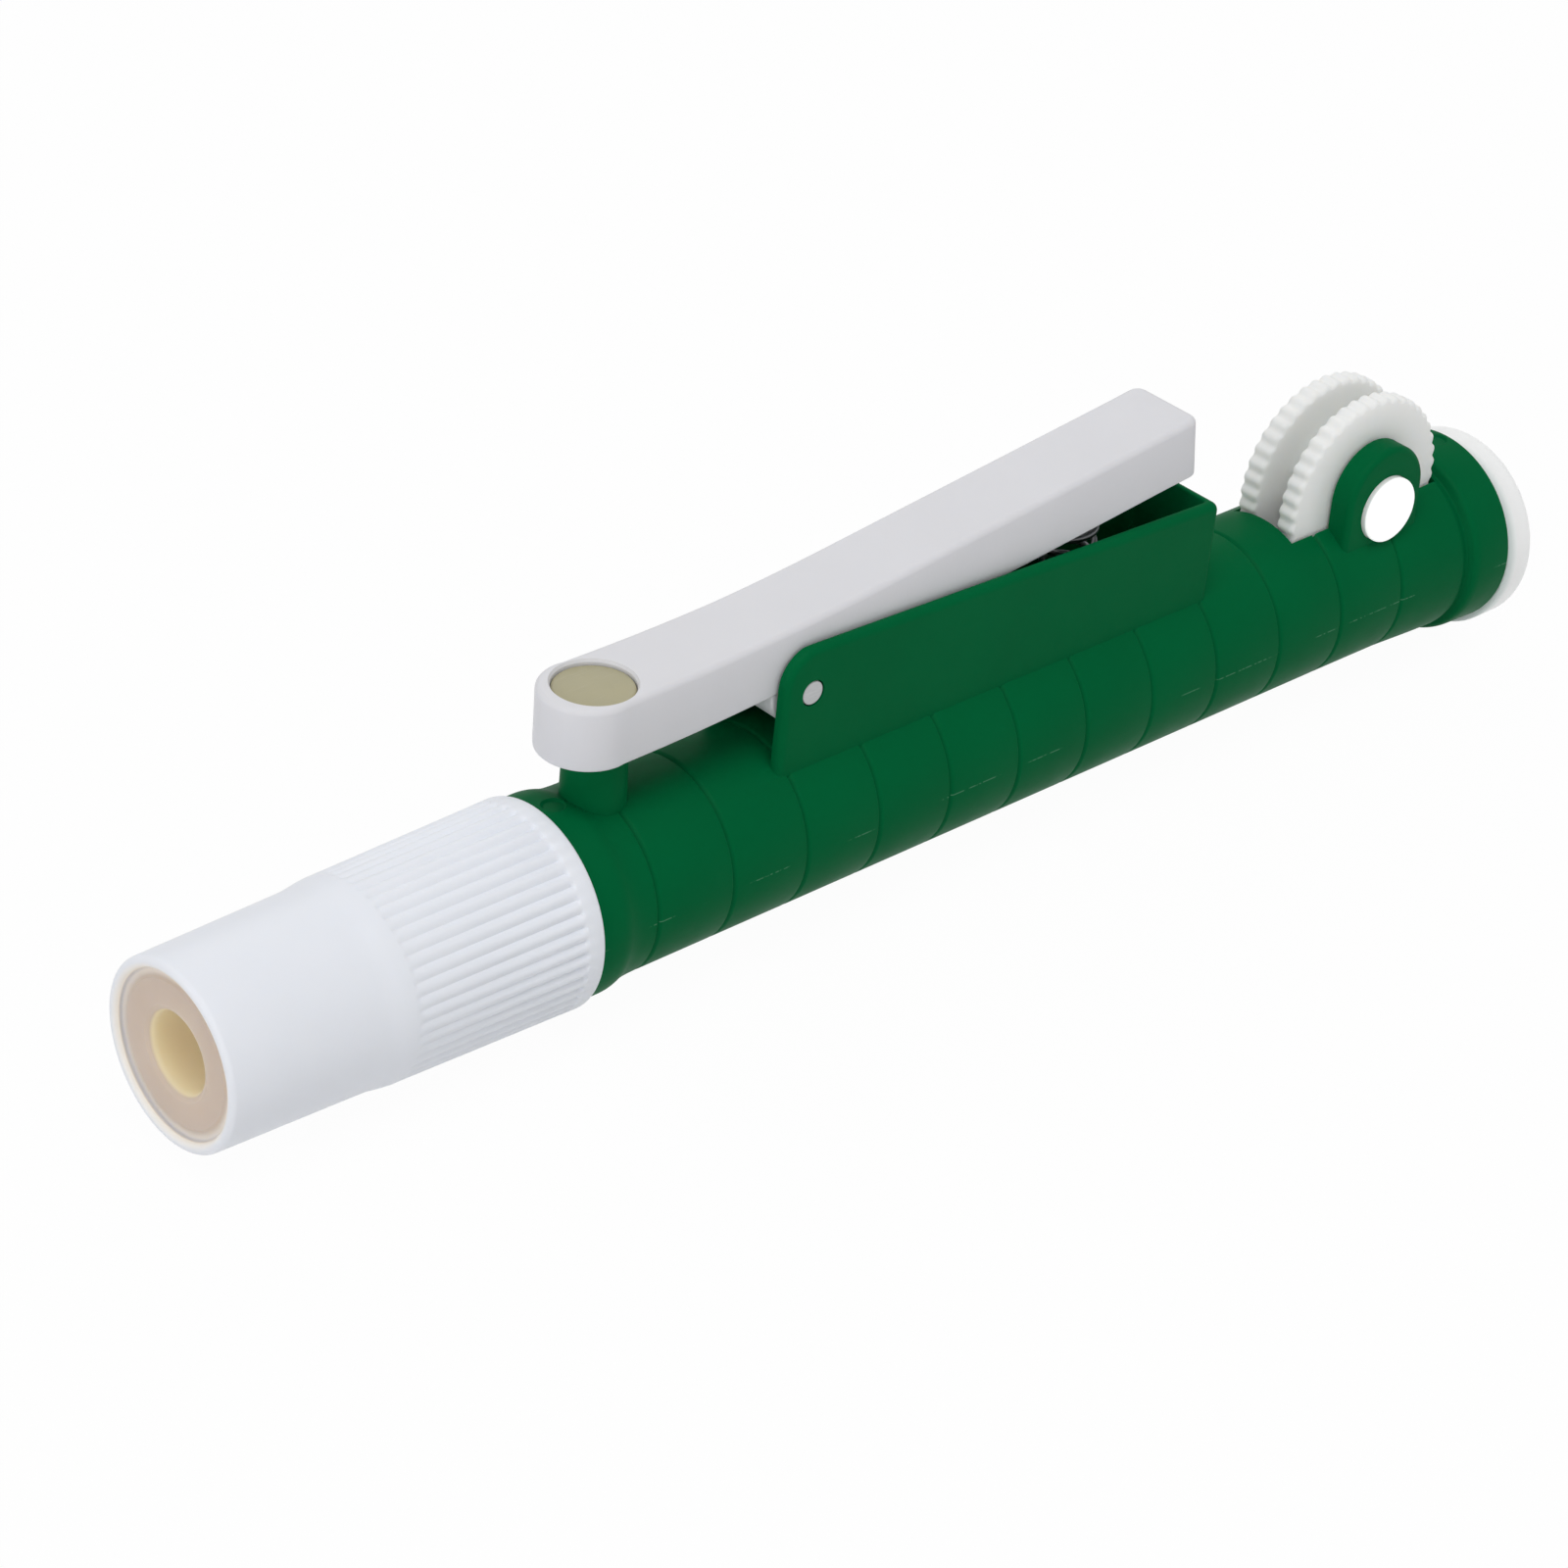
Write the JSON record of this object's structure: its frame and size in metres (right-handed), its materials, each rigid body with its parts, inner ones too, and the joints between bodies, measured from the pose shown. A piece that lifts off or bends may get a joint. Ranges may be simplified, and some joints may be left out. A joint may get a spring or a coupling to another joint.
{
  "type": "pipette filler",
  "caption": "Hand-held pipette filler with a thumbwheel-driven plunger in a ringed barrel, a soft-lined nose that grips the pipette and a sprung release lever on top.",
  "frame": {"origin": "centre of the pipette hole at the insert's front face", "axes": "+X along the barrel axis from the pipette mouth to the thumb cap, +Z towards the release lever, +Y to the far side"},
  "size_m": [0.1763, 0.0218, 0.0409],
  "materials": {
    "green_plastic": "satin moulded",
    "nose_plastic": "satin moulded",
    "white_plastic": "satin moulded",
    "cap_plastic": "translucent satin",
    "insert_silicone": "soft matte",
    "pad_silicone": "soft matte",
    "seal_rubber": "black satin",
    "steel": "drawn wire and ground pin"
  },
  "bodies": {
    "barrel": {"barrel": "green_plastic", "chuck_nose": "nose_plastic", "chuck_insert": "insert_silicone", "nose_seal": "seal_rubber", "lever_pin": "steel", "lever_spring": "steel"},
    "lever": {"release_lever": "white_plastic", "lever_pad": "pad_silicone"},
    "thumbwheel": {"wheel_disc_near": "white_plastic", "wheel_disc_far": "white_plastic", "drive_pinion": "white_plastic", "wheel_core_pin": "steel"},
    "plunger": {"plunger_rod": "white_plastic", "plunger_cap": "cap_plastic", "piston_head": "white_plastic", "piston_seal_front": "seal_rubber", "piston_seal_rear": "seal_rubber"}
  },
  "joints": [
    {"name": "plunger_slide", "type": "slide", "parent": "barrel", "child": "plunger", "axis": [1, 0, 0], "range_m": [0, 0.062]},
    {"name": "wheel_spin", "type": "hinge", "parent": "barrel", "child": "thumbwheel", "pos_m": [0.1531, 0, 0.0107], "axis": [0, -1, 0], "range_deg": [0, 684]},
    {"name": "lever_pivot", "type": "hinge", "parent": "barrel", "child": "lever", "pos_m": [0.07107, 0, 0.016], "axis": [0, 1, 0], "range_deg": [0, 6], "stiffness_Nm_per_rad": 0.6, "springref_deg": -12.61, "deforming": ["lever_spring"]}
  ],
  "couplings": [
    {"joint": "wheel_spin", "follows": "plunger_slide", "rad_per_m": 192.31}
  ]
}
